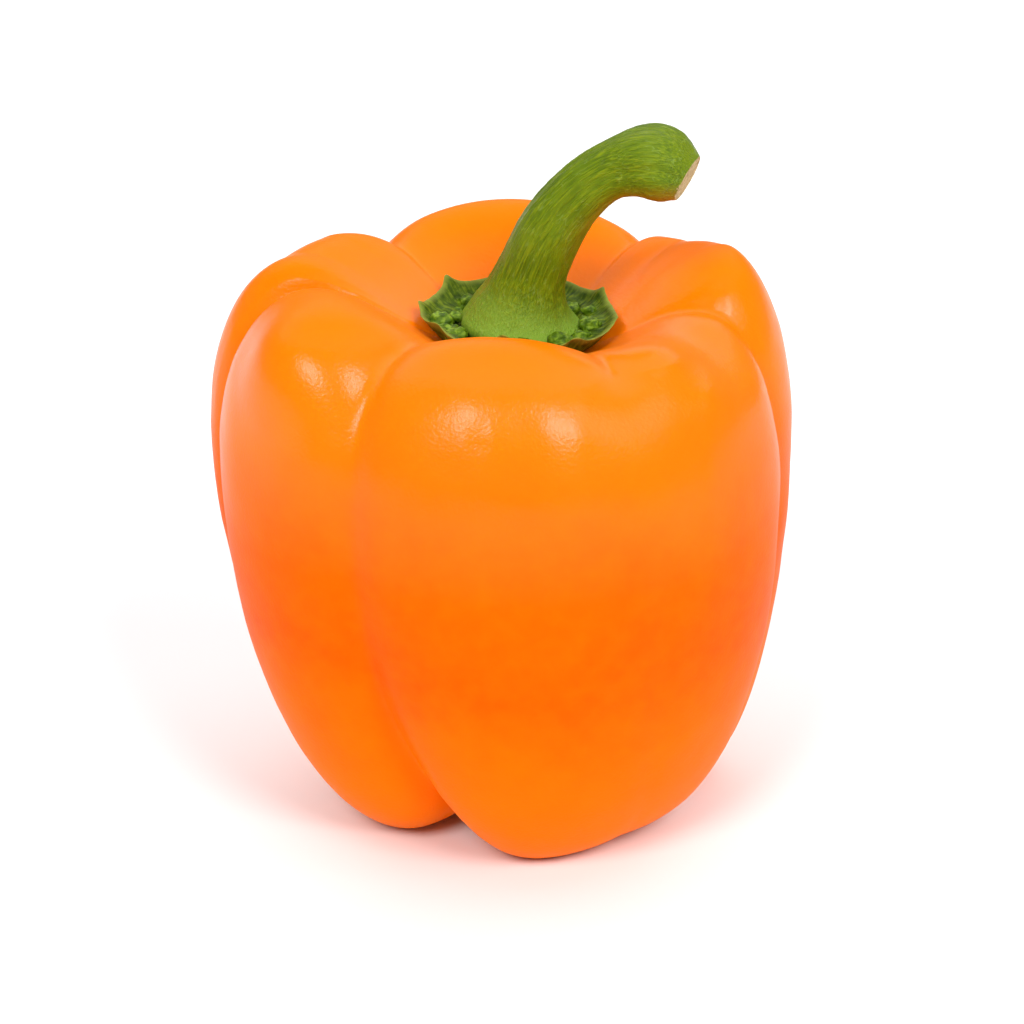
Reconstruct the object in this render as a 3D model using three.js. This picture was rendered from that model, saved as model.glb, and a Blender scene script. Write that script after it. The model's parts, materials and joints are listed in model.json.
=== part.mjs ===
// A sweet (bell) pepper, as picked: a blocky lobed fruit standing on the feet of its lobes, a star-shaped
// calyx lying in the hollow between its shoulders, and a thick stalk that bends over to a knife-cut end.
//
// Millimetres, +Z up. The fruit is modelled about the Z axis, and the finished group is shifted so that the
// origin is the bottom centre of the whole pepper's bounding box. Azimuths are degrees about +Z, counted from
// +X towards +Y, so 270 is the front.
import * as THREE from "three";

// ---------------------------------------------------------------- driving dimensions

// The lobes, counted round from the front left one. A lobe's ridge runs from the crest of its shoulder over the
// belly, where it is widest, to the foot, each given as [radius, height]. A foot below zero is pressed flat at
// zero. `furrow` parts the lobe from the one before it: where it lies and how deep it is cut below the ridges
// beside it, each at [crest, belly, foot].
const LOBES = [
  { // front left
    crest: [25, 84.7], belly: [43, 56], foot: [21, -0.6],
    furrow: { azimuth: [231, 234, 246], depth: [5.5, 3.4, 11] },
  },
  { // front right
    crest: [28, 82], belly: [42, 53], foot: [22, 1.2],
    furrow: { azimuth: [297, 300, 306], depth: [3, 0.6, 0.6] },
  },
  { // right
    crest: [31.4, 87], belly: [42.3, 57.5], foot: [28, -0.6],
    furrow: { azimuth: [354, 352, 352], depth: [5, 4, 9] },
  },
  { // right, a narrow rib beside the back lobe
    crest: [28, 84.8], belly: [41.5, 60], foot: [22, 1],
    furrow: { azimuth: [395, 395, 395], depth: [1.6, 0.6, 1] },
  },
  { // back
    crest: [27, 87.7], belly: [42, 56], foot: [21, -0.6],
    furrow: { azimuth: [409, 409, 409], depth: [4.5, 3, 8] },
  },
  { // back left
    crest: [31.2, 85.8], belly: [45.5, 60], foot: [20, 2],
    furrow: { azimuth: [493, 493, 493], depth: [5, 3.5, 8] },
  },
  { // back left, a low rib in front
    crest: [33.3, 86], belly: [47.7, 60], foot: [20, 2],
    furrow: { azimuth: [524, 520, 516], depth: [0.35, 0.4, 1] },
  },
  { // left
    crest: [30, 86.3], belly: [46.1, 61], foot: [20, -0.6],
    furrow: { azimuth: [538, 540, 540], depth: [5, 3.5, 8] },
  },
];
const FURROW_CRISPNESS = 0.93; // 0 is a plain wave across the lobe, 1 is a knife-sharp furrow

const BASIN_HEIGHT = 73.5; // the floor of the hollow that holds the calyx
const BASIN_FLOOR_RADIUS = 5.5;
const BASIN_RISES_TO = 1.03; // crest radii: its slope would end just past the crest
const BLOSSOM_END_HEIGHT = 9; // the dimple underneath
const CREST_AT = 0.24; // where a ridge has its crest, belly and foot, from 0 at the calyx to 1 underneath
const BELLY_AT = 0.5;
const FOOT_AT = 0.8;

const COLUMNS_PER_LOBE = 10;
const ROWS = 40;
const TANGENT_STEP = 0.004; // along an outline, for its direction

const GAP = 0.3; // left between the three pieces, which in life have grown together
const CALYX_CLEARANCE = 0.45; // of the calyx over the fruit, which keeps GAP between their facets

// The calyx: a thin dish with teeth round its rim, and a knobbly ring of tissue round the foot of the stalk.
const CALYX_TEETH = [ // `radius` is the tip's, `bay` is the rim's halfway to the next tooth
  { azimuth: 30, radius: 16.9, bay: 15.5 },
  { azimuth: 80, radius: 16.2, bay: 15.4 },
  { azimuth: 135, radius: 17.8, bay: 16.3 },
  { azimuth: 170, radius: 17.6, bay: 15.8 },
  { azimuth: 205, radius: 15.4, bay: 14.4 },
  { azimuth: 260, radius: 15.6, bay: 15 },
  { azimuth: 305, radius: 16.6, bay: 15.8 },
  { azimuth: 350, radius: 16.9, bay: 15.8 },
];
const TOOTH_SHARPNESS = 4; // 1 is a straight-sided point, more is a narrow spike on a round rim
const TOOTH_LIFT = 1.1;
const RIM_LIFT = 1.5; // of the rim between the teeth, off the fruit
const LIFT_FROM = 11.5; // the radius from which the dish leaves the fruit
const CALYX_THICKNESS = 1.2;
const RIM_THICKNESS = 0.5;
const RUFF_RADIUS = 11.2;
const RUFF_HALF_WIDTH = 2;
const RUFF_HEIGHT = 1.5;
const RUFF_KNOBS = 17;
const KNOB_SHARE = 0.25; // of the ruff's height that its knobs make up
const CALYX_COLUMNS = 96;
const CALYX_ROWS = 12;

// The stalk's middle line above the calyx, in its own upright plane: [out, up].
const STALK_LEAN = -13; // the azimuth of that plane
const STALK_LINE = [[0.3, 0], [0.3, 2.5], [0.9, 6.4], [2.7, 12.3], [5.2, 17.7], [8.9, 22.9], [12.5, 26.2],
  [16.4, 28.1], [20.8, 28.7], [23.4, 27.7], [25, 26.4]];
// Its radius along that line, as [share of the length, radius].
const STALK_RADII = [[0, 6.8], [0.045, 9.1], [0.09, 8.1], [0.15, 6.6], [0.205, 5.7], [0.265, 5.2], [0.44, 4.85],
  [0.55, 4.5], [0.67, 4.3], [0.72, 4.3], [0.78, 4.85], [0.84, 5.5], [0.895, 5.8], [0.94, 5.2], [0.97, 4.5], [1, 3.6]];
const CUT_AZIMUTH = -24; // the way the knife-cut end faces
const CUT_ELEVATION = -23;
const CUT_FROM = 0.85; // the share of the length from which the stalk turns to that
const STALK_BASE = BASIN_HEIGHT + CALYX_CLEARANCE + CALYX_THICKNESS + GAP;
const STALK_SIDES = 24;
const STALK_RINGS = 30;
const RADIUS_STEPS = 200;

// ---------------------------------------------------------------- the fruit

const { clamp, degToRad, euclideanModulo, lerp, mapLinear, smoothstep } = THREE.MathUtils;
const blendOf = (values, shares) => values.reduce((sum, value, k) => sum + value * shares[k], 0);
const lobeNumbered = (n) => LOBES[(n + LOBES.length) % LOBES.length];

// The furrow that starts lobe n, at the given shares of its crest, belly and foot. Lobe LOBES.length is the
// first lobe again, one turn on.
function furrowAt(n, shares) {
  const { azimuth, depth } = lobeNumbered(n).furrow;
  const turns = Math.floor(n / LOBES.length);
  return { azimuth: blendOf(azimuth, shares) + 360 * turns, depth: blendOf(depth, shares) };
}

// The ridge at t across lobe n (-1 and 1 are its furrows): each lobe's own ridge along its middle, running
// smoothly into its neighbour's.
function ridgeAt(n, t) {
  const here = lobeNumbered(n);
  const next = lobeNumbered(n + Math.sign(t));
  const blend = smoothstep(Math.abs(t) / 2, 0, 1);
  const mix = (key) => here[key].map((value, k) => lerp(value, next[key][k], blend));
  return { crest: mix("crest"), belly: mix("belly"), foot: mix("foot") };
}

// The outline of a ridge at v, from 0 in the middle of the basin to 1 in the middle of the underside.
function ridgeOutline({ crest, belly, foot }, v) {
  const quarter = (from, to) => (((v - from) / (to - from)) * Math.PI) / 2;
  if (v < CREST_AT) {
    const radius = (crest[0] * v) / CREST_AT;
    const rise = smoothstep(radius, BASIN_FLOOR_RADIUS, crest[0] * BASIN_RISES_TO);
    return new THREE.Vector2(radius, lerp(BASIN_HEIGHT, crest[1], rise));
  }
  if (v < BELLY_AT) {
    const a = quarter(CREST_AT, BELLY_AT);
    return new THREE.Vector2(lerp(crest[0], belly[0], Math.sin(a)), lerp(belly[1], crest[1], Math.cos(a)));
  }
  if (v < FOOT_AT) {
    const a = quarter(BELLY_AT, FOOT_AT);
    return new THREE.Vector2(lerp(foot[0], belly[0], Math.cos(a)), lerp(belly[1], foot[1], Math.sin(a)));
  }
  const inwards = (v - FOOT_AT) / (1 - FOOT_AT);
  const rise = smoothstep(inwards, 0, 1);
  return new THREE.Vector2(foot[0] * (1 - inwards), lerp(foot[1], BLOSSOM_END_HEIGHT, rise));
}

// How much the crest, the belly and the foot of a furrow count at v.
function furrowShares(v) {
  const belly = smoothstep(v, CREST_AT, BELLY_AT);
  const foot = smoothstep(v, BELLY_AT, FOOT_AT);
  return [1 - belly, belly - foot, foot];
}

// Furrows fade out towards the middle of the basin and of the underside.
function furrowFade(v) {
  return Math.min(1, (v / CREST_AT) ** 3, ((1 - v) / (1 - FOOT_AT)) ** 2);
}

// How far a lobe bulges at t, from 0 at its furrows to 1 along its ridge.
function lobeArch(t) {
  const floor = Math.sqrt(1 - FURROW_CRISPNESS);
  return (Math.sqrt(1 - FURROW_CRISPNESS * t * t) - floor) / (1 - floor);
}

// The point of the fruit's skin at t across lobe n and v down it, moved out by `out` along the ridge's normal.
function fruitPoint(n, t, v, out = 0) {
  const shares = furrowShares(v);
  const [start, end] = [furrowAt(n, shares), furrowAt(n + 1, shares)];
  const azimuth = degToRad(lerp(start.azimuth, end.azimuth, (t + 1) / 2));
  const ridge = ridgeAt(n, t);
  const below = ridgeOutline(ridge, Math.min(v + TANGENT_STEP, 1));
  const along = below.sub(ridgeOutline(ridge, Math.max(v - TANGENT_STEP, 0)));
  const normal = new THREE.Vector2(-along.y, along.x).normalize();
  const cut = (1 - lobeArch(t)) * furrowFade(v) * (t < 0 ? start : end).depth;
  const { x: radius, y: height } = ridgeOutline(ridge, v).addScaledVector(normal, out - cut);
  return new THREE.Vector3(radius * Math.cos(azimuth), radius * Math.sin(azimuth), Math.max(height, 0));
}

// Which lobe a column of the mesh is on, and where across it: columns crowd together beside the furrows.
function columnOnLobes(column, columnsPerLobe) {
  const s = (2 * (column % columnsPerLobe)) / columnsPerLobe - 1;
  return { n: Math.floor(column / columnsPerLobe) % LOBES.length, t: (s + Math.sin((s * Math.PI) / 2)) / 2 };
}

// A sphere's mesh with every vertex moved to pointAt(column, row).
function wrappedSphere(columns, rows, pointAt) {
  const geometry = new THREE.SphereGeometry(1, columns, rows);
  for (let row = 0, i = 0; row <= rows; row++) {
    for (let column = 0; column <= columns; column++, i++) {
      const { x, y, z } = pointAt(column % columns, row);
      geometry.attributes.position.setXYZ(i, x, y, z);
    }
  }
  geometry.computeVertexNormals();
  return geometry;
}

function fruitGeometry() {
  return wrappedSphere(COLUMNS_PER_LOBE * LOBES.length, ROWS, (column, row) => {
    const { n, t } = columnOnLobes(column, COLUMNS_PER_LOBE);
    return fruitPoint(n, t, row / ROWS);
  });
}

// ---------------------------------------------------------------- the calyx

// Which lobe lies at an azimuth in the basin, and where across it.
function lobeAtAzimuth(azimuth) {
  const startOf = (n) => furrowAt(n, [1, 0, 0]).azimuth;
  const turned = startOf(0) + euclideanModulo(azimuth - startOf(0), 360);
  const n = LOBES.findLastIndex((lobe, k) => startOf(k) <= turned);
  return { n, t: mapLinear(turned, startOf(n), startOf(n + 1), -1, 1) };
}

// The calyx's rim at an azimuth: its radius, and how much of a tooth there is, from 0 in a bay to 1 at a tip.
function rimAt(azimuth) {
  const first = CALYX_TEETH[0].azimuth;
  const turned = first + euclideanModulo(azimuth - first, 360);
  const k = CALYX_TEETH.findLastIndex((tooth) => tooth.azimuth <= turned);
  const before = CALYX_TEETH[k];
  const after = CALYX_TEETH[(k + 1) % CALYX_TEETH.length];
  const end = after === CALYX_TEETH[0] ? first + 360 : after.azimuth;
  const across = mapLinear(turned, before.azimuth, end, -1, 1);
  const tooth = Math.abs(across) ** TOOTH_SHARPNESS;
  return { radius: lerp(before.bay, (across < 0 ? before : after).radius, tooth), tooth };
}

// The calyx's skin: down the rows it runs over the top from the middle to the rim, and back underneath.
function calyxGeometry() {
  return wrappedSphere(CALYX_COLUMNS, 2 * CALYX_ROWS, (column, row) => {
    const azimuth = (360 * column) / CALYX_COLUMNS;
    const { n, t } = lobeAtAzimuth(azimuth);
    const rim = rimAt(azimuth);
    const radius = (1 - Math.abs(row / CALYX_ROWS - 1)) * rim.radius;
    const towardsRim = smoothstep(radius, LIFT_FROM, rim.radius);
    const lift = towardsRim * (RIM_LIFT + TOOTH_LIFT * rim.tooth);
    const point = fruitPoint(n, t, (CREST_AT * radius) / ridgeAt(n, t).crest[0], CALYX_CLEARANCE + lift);
    if (row < CALYX_ROWS) {
      const knob = 1 - KNOB_SHARE * (1 - Math.sin(degToRad(azimuth * RUFF_KNOBS)));
      const ruff = Math.max(0, 1 - ((radius - RUFF_RADIUS) / RUFF_HALF_WIDTH) ** 2) * knob;
      point.z += lerp(CALYX_THICKNESS, RIM_THICKNESS, towardsRim) + RUFF_HEIGHT * ruff;
    }
    return point;
  });
}

// ---------------------------------------------------------------- the stalk

// A direction given by its azimuth and its elevation.
function facing(azimuth, elevation) {
  return new THREE.Vector3(1, 0, 0)
    .applyAxisAngle(new THREE.Vector3(0, -1, 0), degToRad(elevation))
    .applyAxisAngle(new THREE.Vector3(0, 0, 1), degToRad(azimuth));
}

// The stalk: a cylinder's mesh bent along its middle line, with rings of changing radius and flat ends.
function stalkGeometry(base) {
  const outwards = facing(STALK_LEAN, 0);
  const pointOf = ([out, up]) => outwards.clone().multiplyScalar(out).add(new THREE.Vector3(0, 0, base + up));
  const line = new THREE.CatmullRomCurve3(STALK_LINE.map(pointOf));
  const radii = new THREE.SplineCurve(STALK_RADII.map(([share, radius]) => new THREE.Vector2(share, radius)));
  const profile = radii.getPoints(RADIUS_STEPS);
  const radiusAt = (share) => {
    const k = clamp(profile.findIndex((point) => point.x >= share), 1, RADIUS_STEPS);
    const [before, after] = [profile[k - 1], profile[k]];
    return mapLinear(share, before.x, after.x, before.y, after.y);
  };
  const cut = facing(CUT_AZIMUTH, CUT_ELEVATION);
  const geometry = new THREE.CylinderGeometry(1, 1, 1, STALK_SIDES, STALK_RINGS);
  const { position } = geometry.attributes;
  for (let i = 0; i < position.count; i++) {
    const share = position.getY(i) + 0.5;
    const along = line.getTangentAt(share).lerp(cut, smoothstep(share, CUT_FROM, 1)).normalize();
    const sideways = new THREE.Vector3(0, 0, 1).cross(outwards);
    const across = new THREE.Vector3().crossVectors(along, sideways).normalize();
    sideways.crossVectors(across, along);
    const point = line
      .getPointAt(share)
      .addScaledVector(across, position.getX(i) * radiusAt(share))
      .addScaledVector(sideways, position.getZ(i) * radiusAt(share));
    position.setXYZ(i, point.x, point.y, point.z);
  }
  geometry.computeVertexNormals();
  return geometry;
}

// ---------------------------------------------------------------- the pepper

function piece(name, geometry, color, roughness) {
  const mesh = new THREE.Mesh(geometry, new THREE.MeshStandardMaterial({ color, roughness, metalness: 0 }));
  mesh.name = name;
  return mesh;
}

const pepper = new THREE.Group();
pepper.add(piece("fruit", fruitGeometry(), "#ff7800", 0.35));
pepper.add(piece("calyx", calyxGeometry(), "#6f8a32", 0.6));
pepper.add(piece("stem", stalkGeometry(STALK_BASE), "#7f9a2b", 0.5));

const box = new THREE.Box3().setFromObject(pepper);
const centre = box.getCenter(new THREE.Vector3());
pepper.children.forEach((mesh) => mesh.geometry.translate(-centre.x, -centre.y, -box.min.z));

export default pepper;
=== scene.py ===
"""A sweet (bell) pepper as picked: waxy orange fruit, a green calyx in the hollow on top, a thick bent stalk.

Metres, +Z up, the front is -Y. The fruit stands on the feet of its lobes at Z = 0.
"""
import json
import math

import bpy
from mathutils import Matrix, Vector

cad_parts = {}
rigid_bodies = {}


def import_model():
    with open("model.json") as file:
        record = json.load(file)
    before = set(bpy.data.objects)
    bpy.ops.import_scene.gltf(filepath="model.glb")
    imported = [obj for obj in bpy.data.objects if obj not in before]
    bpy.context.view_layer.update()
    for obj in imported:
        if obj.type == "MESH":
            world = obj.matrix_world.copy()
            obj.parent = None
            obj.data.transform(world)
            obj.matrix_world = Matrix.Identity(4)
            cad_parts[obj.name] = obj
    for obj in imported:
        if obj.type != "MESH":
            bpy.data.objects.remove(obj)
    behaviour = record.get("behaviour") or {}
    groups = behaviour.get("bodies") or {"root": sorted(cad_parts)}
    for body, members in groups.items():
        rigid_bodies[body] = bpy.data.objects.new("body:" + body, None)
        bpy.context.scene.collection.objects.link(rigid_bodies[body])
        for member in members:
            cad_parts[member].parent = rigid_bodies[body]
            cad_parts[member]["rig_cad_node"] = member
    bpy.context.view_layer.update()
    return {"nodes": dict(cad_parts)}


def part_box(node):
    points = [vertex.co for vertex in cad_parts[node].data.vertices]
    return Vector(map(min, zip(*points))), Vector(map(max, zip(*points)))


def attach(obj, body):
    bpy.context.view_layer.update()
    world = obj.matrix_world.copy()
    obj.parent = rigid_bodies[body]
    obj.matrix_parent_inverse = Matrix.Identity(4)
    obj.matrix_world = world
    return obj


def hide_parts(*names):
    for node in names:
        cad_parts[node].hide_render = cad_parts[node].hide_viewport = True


MM = 0.001

# ---------------------------------------------------------------- the pepper's own measures

CORE = Vector((2.69, 0.47, 0)) * MM  # the axis that the lobes meet on

# Pushes on the skin: heading in degrees, then height, reach and how far in, all in mm.
DENTS = [
    (270, 77, 5, 0.25), (270, 72, 6, 0.35),  # the shallow valley on the front left lobe
    (213, 66, 12, 0.8), (214, 81, 14, -2.5), (256, 78, 9, -0.25),  # fuller left and front shoulders
    (335, 82, 13, 2.8), (135, 83, 12, 0.8),  # lower right and back left shoulders
    (298, 76, 7, -0.4), (298, 68, 9, -0.6), (299, 59, 10, -0.4),  # the furrow between the front lobes
]
CREASE = [  # the fold beside that valley
    (263.2, 79, 1.7, 0.12), (263, 77.8, 1.7, 0.2), (262.7, 76.4, 1.7, 0.25), (262.4, 75, 1.7, 0.25),
    (262.1, 73.6, 1.7, 0.2), (261.8, 72.4, 1.7, 0.12),
]
PUSH_TOWARDS = CORE + Vector((0, 0, 50)) * MM
NEARBY = 1 * MM  # how close to a push's heading and height its middle lies
FINGERTIP = 0.5 * MM
# Furrows worn smooth: the first in a box, given as ranges of x, y and z in mm, and how often it is smoothed.
FRONT_FURROW = [(12, 30), (-60, -14), (54, 80)]
FRONT_SMOOTHINGS = 60
SIDE_FURROWS = [((18, 50), (56, 92), 40), ((148, 176), (60, 92), 25)]  # headings, heights in mm, how often

STALK_LEAN = math.radians(-13)  # the heading of the upright plane that the stalk bends in
STALK_LINE = [  # its middle line in that plane: out from the core and up from its foot, in mm
    (0.3, 0), (0.3, 2.5), (0.9, 6.4), (2.7, 12.3), (5.2, 17.7), (8.9, 22.9), (12.5, 26.2),
    (16.4, 28.2), (20.8, 29.2), (24.8, 28.8), (28.5, 27.2),
]
STALK_GIRTH = [  # distance along it, radius, and how far it sags below the middle line, in mm
    (0, 6.8, 0), (2, 9.1, 0), (4, 8.05, 0), (6.5, 6.6, 0), (9, 5.7, 0), (11.5, 5.25, 0), (14, 5.1, 0),
    (19, 4.85, 0), (24, 4.5, 0), (29, 4.3, 0), (31.5, 4.35, 0), (34, 4.8, 0.1), (36.5, 5.5, 0.35),
    (39, 5.8, 0.5), (41.3, 5.25, 0.9), (42.8, 4.4, 1.45), (44.2, 3.5, 2), (46, 3, 2.5), (50, 2.8, 3.2),
]
STALK_SIDES = 60
STALK_RINGS = 100
STALK_RIBS = 5
STALK_GROOVES = [  # every so many sides, how many sides wide to each side, and the share of the radius left
    (STALK_SIDES // STALK_RIBS, 1.2, 0.96), (3, 0.2, 0.988),
]
CUT_MIDDLE = Vector((24.4, -5.6, 26.4)) * MM  # of the knife cut, from the foot of the stalk
CUT_FACING = Vector((0.86, -0.32, -0.4)).normalized()
CUT_STEPS = [  # rings inwards on the cut face: share of the ring before, and depth in mm
    (0.97, -0.05), (0.95, 0.03), (0.92, 0.12), (0.8, 0.06), (0.6, 0), (0.5, -0.05),
]
CUT_SUNK = 0.3 * MM  # no part of the cut face lies further than this from the knife's plane
CUT_TURNED = 0.8  # nor does it turn away further than this cosine

RIM_SECTORS = 180  # the slices round the calyx in which its rim is measured
RUFF_LUMPS = 29
RUFF_REACH = (10.7, 0.9)  # how far out the lumps lie, and how much that varies, in mm
RUFF_RADIUS = (1.15, 0.35)  # likewise
RUFF_LIFT = 0.5  # how far up and down they lie, in mm
RUFF_SHAPE = (1.3, 1.1, 0.8)

# The skin's colour by height carries painted light: yellower on the lit shoulders and on the feet that the
# floor lights from below, redder round the less-lit middle.
SKIN_FEET, SKIN_CRESTS = 5 * MM, 88 * MM  # the heights between which the skin's colour changes

CAMERA_TARGET = CORE + Vector((-1, 0, 46.8)) * MM
CAMERA_ELEVATION = math.radians(23.5)
CAMERA_DISTANCE = 0.6

# ---------------------------------------------------------------- helpers


def linear(colour):
    """The linear colour of an sRGB hex value such as "ff7a00"."""
    channels = [int(colour[i:i + 2], 16) / 255 for i in (0, 2, 4)]
    return [c / 12.92 if c <= 0.04045 else ((c + 0.055) / 1.055) ** 2.4 for c in channels] + [1]


def add_node(material, kind, feeds=None, stops=None, **settings):
    """Adds a node, sets it up, and feeds its inputs with values or with other nodes' outputs."""
    made = material.node_tree.nodes.new(kind)
    for name, value in settings.items():
        setattr(made, name, value)
    if stops:
        ramp = made.color_ramp.elements
        while len(ramp) < len(stops):
            ramp.new(0.5)
        for element, (position, colour) in zip(ramp, stops):
            element.position = position
            element.color = linear(colour)
    for socket, feed in (feeds or {}).items():
        if isinstance(feed, bpy.types.NodeSocket):
            material.node_tree.links.new(feed, made.inputs[socket])
        else:
            made.inputs[socket].default_value = feed
    return made


def new_material(name):
    material = bpy.data.materials.new(name)
    material.use_nodes = True
    material.node_tree.nodes.clear()
    return material


def interpolate(table, x):
    """The value at x in a table of (x, value) pairs, on a smooth curve through them."""
    for k in range(len(table) - 1):
        (x0, y0), (x1, y1) = table[k], table[k + 1]
        if x <= x1 or k == len(table) - 2:
            xp, yp = table[k - 1] if k else (x0 - (x1 - x0), y0)
            xn, yn = table[k + 2] if k + 2 < len(table) else (x1 + (x1 - x0), y1)
            share = (x - x0) / (x1 - x0)
            run = x1 - x0
            m0 = (y1 - yp) / (x1 - xp) * run
            m1 = (yn - y0) / (xn - x0) * run
            square, cube = share**2, share**3
            return (
                (2 * cube - 3 * square + 1) * y0 + (cube - 2 * square + share) * m0
                + (3 * square - 2 * cube) * y1 + (cube - square) * m1
            )


def only(piece):
    """Leaves just this piece selected and active, in object mode."""
    if bpy.context.object and bpy.context.object.mode != "OBJECT":
        bpy.ops.object.mode_set(mode="OBJECT")
    bpy.ops.object.select_all(action="DESELECT")
    piece.select_set(True)
    bpy.context.view_layer.objects.active = piece


def apply_modifier(piece, kind, **settings):
    only(piece)
    bpy.ops.object.modifier_add(type=kind)
    modifier = piece.modifiers[-1]
    for name, value in settings.items():
        setattr(modifier, name, value)
    bpy.ops.object.modifier_apply(modifier=modifier.name)


def refine(piece, levels):
    apply_modifier(piece, "SUBSURF", levels=levels, render_levels=levels)


def roughen(piece, size, depth, stretch=1.0):
    """Raises and sinks the surface by up to half the depth, in lumps of this size, stretched upwards."""
    lumps = bpy.data.textures.new(piece.name + "_lumps", "CLOUDS")
    lumps.noise_scale = size
    lumps.noise_depth = 2
    bpy.ops.object.empty_add(location=(0, 0, 0), scale=(1, 1, 1))
    space = bpy.context.object
    space.scale = (1, 1, stretch)
    bpy.context.view_layer.update()
    apply_modifier(
        piece, "DISPLACE", texture=lumps, texture_coords="OBJECT", texture_coords_object=space,
        strength=depth, mid_level=0.5,
    )
    bpy.data.objects.remove(space)


def copy_of_node(name, new_name):
    """A copy of a CAD node, merged into one skin with four-sided faces."""
    only(frame["nodes"][name])
    bpy.ops.object.duplicate()
    piece = bpy.context.object
    piece.name = new_name
    del piece["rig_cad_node"]
    piece.data.materials.clear()
    bpy.ops.object.mode_set(mode="EDIT")
    bpy.ops.mesh.select_all(action="SELECT")
    bpy.ops.mesh.remove_doubles(threshold=0.01 * MM)
    bpy.ops.mesh.tris_convert_to_quads(face_threshold=math.pi, shape_threshold=math.pi)
    bpy.ops.object.mode_set(mode="OBJECT")
    return piece


def finish_piece(piece, node, slot, *materials, sharp=None):
    """Shades a finished piece, gives it its materials and lets it stand for its CAD node."""
    only(piece)
    if sharp:
        bpy.ops.object.shade_smooth_by_angle(angle=math.radians(sharp))
    else:
        bpy.ops.object.shade_smooth()
    for material in materials:
        piece.data.materials.append(material)
    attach(piece, "root")
    if node:
        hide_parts(node)


# ---------------------------------------------------------------- the shapes


def pick(piece, test):
    """In object mode, selects just the vertices whose places pass a test, and goes into edit mode."""
    only(piece)
    bpy.ops.object.mode_set(mode="EDIT")
    bpy.ops.mesh.select_mode(type="VERT")
    bpy.ops.mesh.select_all(action="DESELECT")
    bpy.ops.object.mode_set(mode="OBJECT")
    for vertex in piece.data.vertices:
        vertex.select = test(vertex.co)
    bpy.ops.object.mode_set(mode="EDIT")


def heading_of(co):
    """Which way a point lies from the core, in degrees."""
    return math.degrees(math.atan2(co.y - CORE.y, co.x - CORE.x)) % 360


def push_skin(piece, pushes):
    """Pushes the skin in, or out where the push is negative, as with a soft thumb."""
    for heading, height, reach, push in pushes:
        angle = math.radians(heading)
        out = Vector((math.cos(angle), math.sin(angle), 0))
        near = [v.co for v in piece.data.vertices if abs(v.co.z - height * MM) < NEARBY]
        aside = out.cross(Vector((0, 0, 1)))
        ahead = [co for co in near if (co - CORE).dot(out) > 0 and abs((co - CORE).dot(aside)) < NEARBY]
        middle = max(ahead, key=lambda co: co.dot(out)).copy()
        pick(piece, lambda co: (co - middle).length < FINGERTIP)
        bpy.ops.transform.translate(
            value=(PUSH_TOWARDS - middle).normalized() * push * MM,
            use_proportional_edit=True, proportional_edit_falloff="SMOOTH",
            proportional_size=reach * MM, use_proportional_connected=False,
        )
        bpy.ops.object.mode_set(mode="OBJECT")


def make_fruit():
    fruit = copy_of_node("fruit", "fruit_skin")
    refine(fruit, 2)
    roughen(fruit, size=14 * MM, depth=0.5 * MM)
    push_skin(fruit, DENTS)
    # The two front lobes run into each other, so the shallow furrow between them is worn smooth.
    pick(fruit, lambda co: all(low * MM < at < high * MM for at, (low, high) in zip(co, FRONT_FURROW)))
    bpy.ops.mesh.vertices_smooth(factor=0.5, repeat=FRONT_SMOOTHINGS)
    for headings, heights, times in SIDE_FURROWS:
        pick(
            fruit,
            lambda co: headings[0] < heading_of(co) < headings[1] and heights[0] < co.z / MM < heights[1],
        )
        bpy.ops.mesh.vertices_smooth(factor=0.5, repeat=times)
    push_skin(fruit, CREASE)
    return fruit


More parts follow.
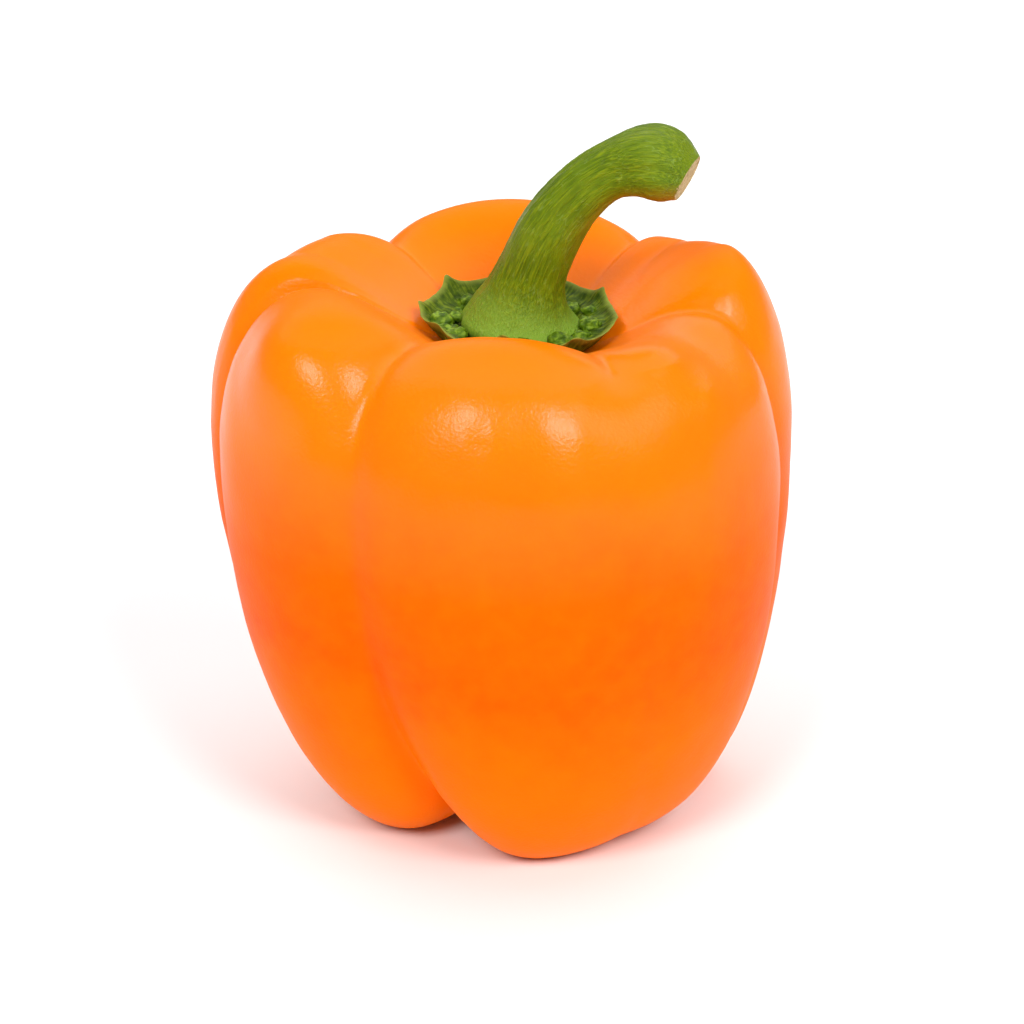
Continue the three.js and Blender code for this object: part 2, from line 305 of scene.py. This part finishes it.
def make_stalk(foot):
    """Grows the stalk straight up, ribbed and wrinkled, then bends it over and cuts its end."""
    length = STALK_GIRTH[-1][0]
    step = length / STALK_RINGS
    radius = STALK_GIRTH[0][1]
    bpy.ops.object.select_all(action="DESELECT")
    bpy.ops.mesh.primitive_circle_add(vertices=STALK_SIDES, radius=radius * MM, fill_type="NGON")
    stalk = bpy.context.object
    stalk.name = "stalk"
    # Grooves part the ribs, and finer ones run between them.
    spacing = math.tau / STALK_SIDES
    for every, width, left in STALK_GROOVES:
        half = every / 2
        pick(stalk, lambda co: abs((math.atan2(co.y, co.x) / spacing + half) % every - half) < width)
        bpy.ops.transform.resize(value=(left, left, 1), center_override=(0, 0, 0))
    bpy.ops.mesh.select_all(action="SELECT")
    sag = 0
    for ring in range(1, STALK_RINGS + 1):
        height = step * ring
        wider = interpolate([row[:2] for row in STALK_GIRTH], height)
        lower = interpolate([row[::2] for row in STALK_GIRTH], height)
        rise = (-(lower - sag) * MM, 0, step * MM)
        bpy.ops.mesh.extrude_region_move(TRANSFORM_OT_translate={"value": rise})
        growth = (wider / radius, wider / radius, 1)
        bpy.ops.transform.resize(value=growth, center_override=(-lower * MM, 0, 0))
        radius, sag = wider, lower
    bpy.ops.mesh.select_all(action="SELECT")
    bpy.ops.mesh.normals_make_consistent(inside=False)
    bpy.ops.object.mode_set(mode="OBJECT")
    refine(stalk, 1)
    roughen(stalk, size=0.5 * MM, depth=0.1 * MM, stretch=12)
    roughen(stalk, size=0.6 * MM, depth=0.12 * MM, stretch=1.6)
    roughen(stalk, size=7 * MM, depth=0.3 * MM)
    unbent = stalk.data.attributes.new("unbent", "FLOAT_VECTOR", "POINT")
    for vertex, place in zip(stalk.data.vertices, unbent.data):
        place.vector = vertex.co

    bpy.ops.object.select_all(action="DESELECT")
    bpy.ops.curve.primitive_bezier_curve_add()
    line = bpy.context.object
    line.data.splines[0].bezier_points.add(len(STALK_LINE) - 2)
    outwards = Vector((math.cos(STALK_LEAN), math.sin(STALK_LEAN), 0))
    for point, (out, up) in zip(line.data.splines[0].bezier_points, STALK_LINE):
        point.co = (outwards * out + Vector((0, 0, up))) * MM
        point.handle_left_type = point.handle_right_type = "AUTO"
    line.data.splines[0].resolution_u = 24
    line.data.twist_mode = "MINIMUM"
    bpy.context.view_layer.update()
    apply_modifier(stalk, "CURVE", object=line, deform_axis="POS_Z")
    bpy.data.objects.remove(line)

    stalk.location = foot
    only(stalk)
    bpy.ops.object.transform_apply(location=True, rotation=False, scale=False)
    bpy.ops.object.mode_set(mode="EDIT")
    bpy.ops.mesh.select_all(action="SELECT")
    bpy.ops.mesh.bisect(
        plane_co=foot + CUT_MIDDLE, plane_no=CUT_FACING, use_fill=False, clear_outer=True,
        threshold=0.001 * MM,
    )
    stalk.update_from_editmode()
    rim = [vertex.co for vertex in stalk.data.vertices if vertex.select]
    middle = sum(rim, Vector()) / len(rim)
    # The rim of the cut stands a little proud of the pith, which has dried and sunk.
    for smaller, deeper in CUT_STEPS:
        bpy.ops.mesh.extrude_region_move(TRANSFORM_OT_translate={"value": CUT_FACING * -deeper * MM})
        bpy.ops.transform.resize(value=(smaller,) * 3, center_override=middle)
    bpy.ops.mesh.merge(type="CENTER")
    bpy.ops.object.mode_set(mode="OBJECT")
    return stalk


def pith_faces(stalk, foot):
    """The faces of the cut end."""
    middle = foot + CUT_MIDDLE
    return [
        face for face in stalk.data.polygons
        if abs((face.center - middle).dot(CUT_FACING)) < CUT_SUNK and face.normal.dot(CUT_FACING) > CUT_TURNED
    ]


def make_calyx():
    """The dish. Its "petal" says where each point lies: which way, as x and y, and how near the rim, as z."""
    calyx = copy_of_node("calyx", "calyx_dish")
    refine(calyx, 2)
    roughen(calyx, size=1.4 * MM, depth=0.3 * MM)
    polar = []
    rims = [0] * RIM_SECTORS
    for vertex in calyx.data.vertices:
        aside = vertex.co - CORE
        heading = math.atan2(aside.y, aside.x)
        reach = math.hypot(aside.x, aside.y)
        sector = int((heading / math.tau + 0.5) * RIM_SECTORS) % RIM_SECTORS
        rims[sector] = max(rims[sector], reach)
        polar.append((heading, reach, sector))
    petal = calyx.data.attributes.new("petal", "FLOAT_VECTOR", "POINT")
    for place, (heading, reach, sector) in zip(petal.data, polar):
        place.vector = (math.cos(heading), math.sin(heading), reach / rims[sector])
    return calyx


def make_ruff(centre):
    """A ring of knobbly tissue round the stalk's foot, of lumps fused where they meet. No two are alike."""
    lumps = []
    for k in range(RUFF_LUMPS):
        heading = math.tau * (k + 0.3 * math.sin(5 * k)) / RUFF_LUMPS
        reach = (RUFF_REACH[0] + RUFF_REACH[1] * math.sin(3.7 * k)) * MM
        radius = (RUFF_RADIUS[0] + RUFF_RADIUS[1] * math.sin(2.3 * k + 1)) * MM
        lift = RUFF_LIFT * MM * math.sin(4.1 * k)
        place = centre + Vector((math.cos(heading) * reach, math.sin(heading) * reach, lift))
        bpy.ops.object.select_all(action="DESELECT")
        bpy.ops.mesh.primitive_ico_sphere_add(subdivisions=3, radius=radius, location=place)
        bpy.ops.transform.resize(value=RUFF_SHAPE)
        lumps.append(bpy.context.object)
    bpy.ops.object.select_all(action="DESELECT")
    for lump in lumps:
        lump.select_set(True)
    bpy.ops.object.join()
    ruff = bpy.context.object
    ruff.name = "calyx_ruff"
    bpy.ops.object.transform_apply(location=True, rotation=True, scale=True)
    apply_modifier(ruff, "REMESH", mode="VOXEL", voxel_size=0.22 * MM)
    roughen(ruff, size=0.8 * MM, depth=1.1 * MM)
    apply_modifier(ruff, "SMOOTH", factor=0.5, iterations=2)
    return ruff


# ---------------------------------------------------------------- the materials


def pepper_skin():
    """Sweet pepper skin: a waxy cuticle over juicy orange flesh, so a soft gloss with a glow below it."""
    skin = new_material("waxy_pepper_skin")
    place = add_node(skin, "ShaderNodeTexCoord").outputs["Object"]
    height = add_node(skin, "ShaderNodeSeparateXYZ", {"Vector": place}).outputs["Z"]
    share = add_node(
        skin, "ShaderNodeMapRange", {"Value": height, "From Min": SKIN_FEET, "From Max": SKIN_CRESTS}
    ).outputs["Result"]
    drift = add_node(skin, "ShaderNodeTexNoise", {"Vector": place, "Scale": 1 / (26 * MM), "Detail": 3})
    shifted = add_node(
        skin, "ShaderNodeMath", {0: drift.outputs["Fac"], 1: 0.35, 2: share}, operation="MULTIPLY_ADD"
    ).outputs["Value"]
    # Painted light: the colour by height is yellower on the lit shoulders and at the feet, where the floor
    # lights the skin from below, and redder round the shaded middle. The drift noise adds tone that differs
    # at random.
    tone_and_painted_light = add_node(
        skin, "ShaderNodeValToRGB", {"Fac": shifted},
        stops=[(0.17, "ff7a00"), (0.4, "f66c00"), (0.55, "f05a00"), (0.74, "f46200"), (1.0, "fb7800")],
    ).outputs["Color"]
    mottle = add_node(skin, "ShaderNodeTexNoise", {"Vector": place, "Scale": 1 / (3.5 * MM), "Detail": 4})
    freckle = add_node(
        skin, "ShaderNodeMapRange",
        {"Value": mottle.outputs["Fac"], "From Min": 0.35, "From Max": 0.75, "To Max": 0.3},
    ).outputs["Result"]
    colour = add_node(
        skin, "ShaderNodeMix", {"Factor": freckle, "A": tone_and_painted_light, "B": linear("f87400")}, data_type="RGBA"
    ).outputs["Result"]
    pores = add_node(skin, "ShaderNodeTexNoise", {"Vector": place, "Scale": 1 / (0.5 * MM), "Detail": 2})
    ripple = add_node(skin, "ShaderNodeTexNoise", {"Vector": place, "Scale": 1 / (5 * MM), "Detail": 2})
    coarse = add_node(
        skin, "ShaderNodeBump", {"Height": ripple.outputs["Fac"], "Strength": 0.18, "Distance": 0.3 * MM}
    ).outputs["Normal"]
    fine = add_node(
        skin, "ShaderNodeBump",
        {"Height": pores.outputs["Fac"], "Strength": 0.5, "Distance": 0.1 * MM, "Normal": coarse},
    ).outputs["Normal"]
    # Handling has polished the shoulders, and the wax is duller lower down and in the hollow on top.
    rising = add_node(
        skin, "ShaderNodeMapRange",
        {"Value": height, "From Min": 50 * MM, "From Max": 70 * MM, "To Min": 0.03, "To Max": 0.56},
    ).outputs["Result"]
    crest = add_node(
        skin, "ShaderNodeMapRange",
        {"Value": height, "From Min": 80 * MM, "From Max": 85 * MM, "To Min": 1.0, "To Max": 0.15},
    ).outputs["Result"]
    polish = add_node(skin, "ShaderNodeMath", {0: rising, 1: crest}, operation="MULTIPLY").outputs["Value"]
    shader = add_node(skin, "ShaderNodeBsdfPrincipled", {
        "Base Color": colour, "Roughness": 0.42, "IOR": 1.33, "Specular IOR Level": 0.06, "Normal": fine,
        "Specular Tint": linear("ff8a10"),
        "Subsurface Weight": 0.15, "Subsurface Radius": (1.0, 0.25, 0.02), "Subsurface Scale": 2 * MM,
        "Coat Weight": polish, "Coat Roughness": 0.22, "Coat IOR": 1.42, "Coat Normal": fine,
    }).outputs["BSDF"]
    add_node(skin, "ShaderNodeOutputMaterial", {"Surface": shader})
    return skin


def stalk_skin():
    """The stalk's rind: satin green, ribbed and finely wrinkled along its length, with painted highlights on
    the wrinkles, and yellower on the underside of the bend, partly its own tinge and partly painted bounce
    light from the fruit.
    """
    rind = new_material("green_stalk_rind")
    place = add_node(rind, "ShaderNodeAttribute", attribute_name="unbent").outputs["Vector"]
    parts = add_node(rind, "ShaderNodeSeparateXYZ", {"Vector": place})
    streaky = add_node(rind, "ShaderNodeMapping", {"Vector": place, "Scale": (1, 1, 0.06)}).outputs["Vector"]
    streaks = add_node(rind, "ShaderNodeTexNoise", {"Vector": streaky, "Scale": 1 / (0.26 * MM), "Detail": 3})
    patches = add_node(rind, "ShaderNodeTexNoise", {"Vector": place, "Scale": 1 / (5 * MM), "Detail": 3})
    green = add_node(
        rind, "ShaderNodeValToRGB", {"Fac": streaks.outputs["Fac"]},
        stops=[(0.3, "4f6604"), (0.5, "607805"), (0.7, "80900d")],
    ).outputs["Color"]
    paler = add_node(
        rind, "ShaderNodeMapRange",
        {"Value": patches.outputs["Fac"], "From Min": 0.42, "From Max": 0.7, "To Max": 0.55},
    ).outputs["Result"]
    mottled = add_node(
        rind, "ShaderNodeMix", {"Factor": paler, "A": green, "B": linear("76880a")}, data_type="RGBA"
    ).outputs["Result"]
    # The foot is a fresher, lighter green.
    footward = add_node(
        rind, "ShaderNodeMapRange",
        {"Value": parts.outputs["Z"], "From Min": 9 * MM, "From Max": 3 * MM, "To Max": 0.75},
    ).outputs["Result"]
    fresh = add_node(
        rind, "ShaderNodeMix", {"Factor": footward, "A": mottled, "B": linear("80a434")}, data_type="RGBA"
    ).outputs["Result"]
    # The side that faces down in the bend is painted yellow-orange: partly its own yellow tinge, partly
    # painted orange bounce light from the fruit below it.
    below = add_node(
        rind, "ShaderNodeMapRange",
        {"Value": parts.outputs["X"], "From Min": -0.6 * MM, "From Max": -4.6 * MM},
    ).outputs["Result"]
    hooked = add_node(
        rind, "ShaderNodeMapRange",
        {"Value": parts.outputs["Z"], "From Min": 16 * MM, "From Max": 36 * MM},
    ).outputs["Result"]
    yellow_tinge_and_painted_bounce = add_node(rind, "ShaderNodeMath", {0: below, 1: hooked}, operation="MULTIPLY").outputs["Value"]
    colour = add_node(
        rind, "ShaderNodeMix", {"Factor": yellow_tinge_and_painted_bounce, "A": fresh, "B": linear("946606")}, data_type="RGBA"
    ).outputs["Result"]
    # Short wrinkles lie where the rind has shrunk, and their pale colour is a painted highlight, as where
    # light catches their ridges.
    short = add_node(rind, "ShaderNodeMapping", {"Vector": place, "Scale": (1, 1, 0.3)}).outputs["Vector"]
    folds = add_node(
        rind, "ShaderNodeTexNoise",
        {"Vector": short, "Scale": 1 / (0.9 * MM), "Detail": 1.5, "Distortion": 0.35},
    ).outputs["Fac"]
    centred = add_node(rind, "ShaderNodeMath", {0: folds, 1: 0.5}, operation="SUBTRACT").outputs["Value"]
    apart = add_node(rind, "ShaderNodeMath", {0: centred}, operation="ABSOLUTE").outputs["Value"]
    creases = add_node(
        rind, "ShaderNodeMapRange", {"Value": apart, "From Min": 0.035, "From Max": 0.0}
    ).outputs["Result"]
    scarce = add_node(rind, "ShaderNodeTexNoise", {"Vector": place, "Scale": 1 / (1.7 * MM), "Detail": 2})
    where = add_node(
        rind, "ShaderNodeMapRange",
        {"Value": scarce.outputs["Fac"], "From Min": 0.45, "From Max": 0.65, "To Max": 0.3},
    ).outputs["Result"]
    painted_wrinkle_highlight = add_node(rind, "ShaderNodeMath", {0: creases, 1: where}, operation="MULTIPLY").outputs["Value"]
    # Painted highlight: the wrinkle lines are mixed towards a pale green.
    colour_with_painted_highlights = add_node(
        rind, "ShaderNodeMix", {"Factor": painted_wrinkle_highlight, "A": colour, "B": linear("9db45a")}, data_type="RGBA"
    ).outputs["Result"]
    ribs = add_node(
        rind, "ShaderNodeBump", {"Height": streaks.outputs["Fac"], "Strength": 1.0, "Distance": 0.3 * MM}
    ).outputs["Normal"]
    wrinkles = add_node(
        rind, "ShaderNodeBump",
        {"Height": creases, "Strength": 0.5, "Distance": 0.07 * MM, "Normal": ribs},
    ).outputs["Normal"]
    shader = add_node(rind, "ShaderNodeBsdfPrincipled", {
        "Base Color": colour_with_painted_highlights, "Roughness": 0.4, "IOR": 1.4, "Specular IOR Level": 0.22, "Normal": wrinkles,
        "Subsurface Weight": 0.08, "Subsurface Radius": (0.4, 1.0, 0.1), "Subsurface Scale": 1 * MM,
    }).outputs["BSDF"]
    add_node(rind, "ShaderNodeOutputMaterial", {"Surface": shader})
    return rind


def cut_pith():
    """The knife-cut end: dried, corky pith, tan with darker fibres, so dull and a little rough."""
    pith = new_material("dried_cut_pith")
    place = add_node(pith, "ShaderNodeTexCoord").outputs["Object"]
    fibres = add_node(pith, "ShaderNodeTexNoise", {"Vector": place, "Scale": 1 / (0.5 * MM), "Detail": 4})
    colour = add_node(
        pith, "ShaderNodeValToRGB", {"Fac": fibres.outputs["Fac"]},
        stops=[(0.3, "8d7440"), (0.5, "b89f6c"), (0.7, "cdb98a")],
    ).outputs["Color"]
    grain = add_node(
        pith, "ShaderNodeBump", {"Height": fibres.outputs["Fac"], "Strength": 0.8, "Distance": 0.2 * MM}
    ).outputs["Normal"]
    shader = add_node(
        pith, "ShaderNodeBsdfPrincipled", {"Base Color": colour, "Roughness": 0.8, "Normal": grain}
    ).outputs["BSDF"]
    add_node(pith, "ShaderNodeOutputMaterial", {"Surface": shader})
    return pith


def calyx_leaf():
    """The calyx: dull leaf-like tissue, finely veined outwards, with a paler, drier rim."""
    leaf = new_material("calyx_leaf")
    place = add_node(leaf, "ShaderNodeTexCoord").outputs["Object"]
    petal = add_node(leaf, "ShaderNodeAttribute", attribute_name="petal").outputs["Vector"]
    share = add_node(leaf, "ShaderNodeSeparateXYZ", {"Vector": petal}).outputs["Z"]
    # Veins about 0.5 mm apart at the rim, which is 16 mm out.
    fan = add_node(leaf, "ShaderNodeMapping", {"Vector": petal, "Scale": (1, 1, 0.25)}).outputs["Vector"]
    veins = add_node(leaf, "ShaderNodeTexNoise", {"Vector": fan, "Scale": 30, "Detail": 3}).outputs["Fac"]
    patches = add_node(
        leaf, "ShaderNodeTexNoise", {"Vector": place, "Scale": 1 / (1.3 * MM), "Detail": 5}
    ).outputs["Fac"]
    relief = add_node(
        leaf, "ShaderNodeMix", {"Factor": 0.5, "A": veins, "B": patches}, data_type="FLOAT"
    ).outputs["Result"]
    green = add_node(
        leaf, "ShaderNodeValToRGB", {"Fac": relief},
        stops=[(0.36, "2c3e04"), (0.5, "455a08"), (0.62, "6c7c16")],
    ).outputs["Color"]
    edge = add_node(
        leaf, "ShaderNodeMapRange", {"Value": share, "From Min": 0.93, "From Max": 1.0, "To Max": 0.75}
    ).outputs["Result"]
    colour = add_node(
        leaf, "ShaderNodeMix", {"Factor": edge, "A": green, "B": linear("929c3e")}, data_type="RGBA"
    ).outputs["Result"]
    crinkle = add_node(leaf, "ShaderNodeBump", {"Height": relief, "Strength": 0.9, "Distance": 0.35 * MM})
    shader = add_node(leaf, "ShaderNodeBsdfPrincipled", {
        "Base Color": colour, "Roughness": 0.48, "IOR": 1.4, "Specular IOR Level": 0.14,
        "Normal": crinkle.outputs["Normal"],
    }).outputs["BSDF"]
    add_node(leaf, "ShaderNodeOutputMaterial", {"Surface": shader})
    return leaf


def warty_tissue():
    """The knobbly ring: corky green warts, lighter on their tops, a little glossy."""
    warts = new_material("warty_calyx_ring")
    place = add_node(warts, "ShaderNodeTexCoord").outputs["Object"]
    pits = add_node(
        warts, "ShaderNodeTexNoise", {"Vector": place, "Scale": 1 / (0.8 * MM), "Detail": 4}
    ).outputs["Fac"]
    green = add_node(
        warts, "ShaderNodeValToRGB", {"Fac": pits},
        stops=[(0.35, "364e04"), (0.5, "54700c"), (0.66, "809a28")],
    ).outputs["Color"]
    crinkle = add_node(warts, "ShaderNodeBump", {"Height": pits, "Strength": 0.8, "Distance": 0.3 * MM})
    shader = add_node(warts, "ShaderNodeBsdfPrincipled", {
        "Base Color": green, "Roughness": 0.45, "IOR": 1.4, "Specular IOR Level": 0.2,
        "Normal": crinkle.outputs["Normal"],
    }).outputs["BSDF"]
    add_node(warts, "ShaderNodeOutputMaterial", {"Surface": shader})
    return warts


# ---------------------------------------------------------------- the pieces in place

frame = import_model()

foot_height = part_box("stem")[0].z
fruit = make_fruit()
finish_piece(fruit, "fruit", "skin", pepper_skin())
foot = CORE + Vector((0, 0, foot_height))
stalk = make_stalk(foot)
finish_piece(stalk, "stem", "stalk", stalk_skin(), cut_pith(), sharp=50)
for face in pith_faces(stalk, foot):
    face.material_index = 1
calyx = make_calyx()
finish_piece(calyx, "calyx", "calyx", calyx_leaf())
ruff = make_ruff(foot + Vector((0, 0, 1.9 * MM)))
finish_piece(ruff, None, "calyx", warty_tissue())

# ---------------------------------------------------------------- floor, light and camera


def make_floor():
    paper = new_material("pale_studio_paper")
    shader = add_node(paper, "ShaderNodeBsdfPrincipled", {"Base Color": linear("f5f5f6"), "Roughness": 0.9})
    add_node(paper, "ShaderNodeOutputMaterial", {"Surface": shader.outputs["BSDF"]})
    bpy.ops.object.select_all(action="DESELECT")
    bpy.ops.mesh.primitive_plane_add(size=8, location=(0, 0, 0))
    floor = bpy.context.object
    floor.name = "studio_floor"
    floor.data.materials.append(paper)


def add_lamp(name, towards, spread, strength):
    """A big soft lamp far off, at a heading and an elevation, as wide as its spread in degrees."""
    heading, elevation = [math.radians(a) for a in towards]
    level = math.cos(elevation)
    back = Vector((math.cos(heading) * level, math.sin(heading) * level, math.sin(elevation)))
    bpy.ops.object.light_add(type="SUN", location=back)
    lamp = bpy.context.object
    lamp.name = name
    lamp.rotation_euler = back.to_track_quat("Z", "Y").to_euler()
    lamp.data.angle = math.radians(spread)
    lamp.data.energy = strength


def add_camera():
    back = Vector((0, -math.cos(CAMERA_ELEVATION), math.sin(CAMERA_ELEVATION)))
    bpy.ops.object.camera_add(location=CAMERA_TARGET + back * CAMERA_DISTANCE)
    camera = bpy.context.object
    camera.rotation_euler = back.to_track_quat("Z", "Y").to_euler()
    camera.data.lens = 138.5
    camera.data.sensor_width = 36
    camera.data.clip_start = 0.01
    bpy.context.scene.camera = camera


def light_the_room():
    world = bpy.data.worlds.new("white_studio")
    world.use_nodes = True
    world.node_tree.nodes["Background"].inputs["Color"].default_value = (1, 1, 1, 1)
    world.node_tree.nodes["Background"].inputs["Strength"].default_value = 0.2
    bpy.context.scene.world = world
    bpy.context.scene.view_settings.view_transform = "Standard"


make_floor()
light_the_room()
add_lamp("left_softbox", (-117, 42), 22, 1.6)
add_lamp("right_softbox", (-57, 41), 22, 1.6)
add_lamp("side_softbox", (-28, 39), 24, 0.35)
add_lamp("back_softbox", (90, 62), 90, 1.9)
add_camera()
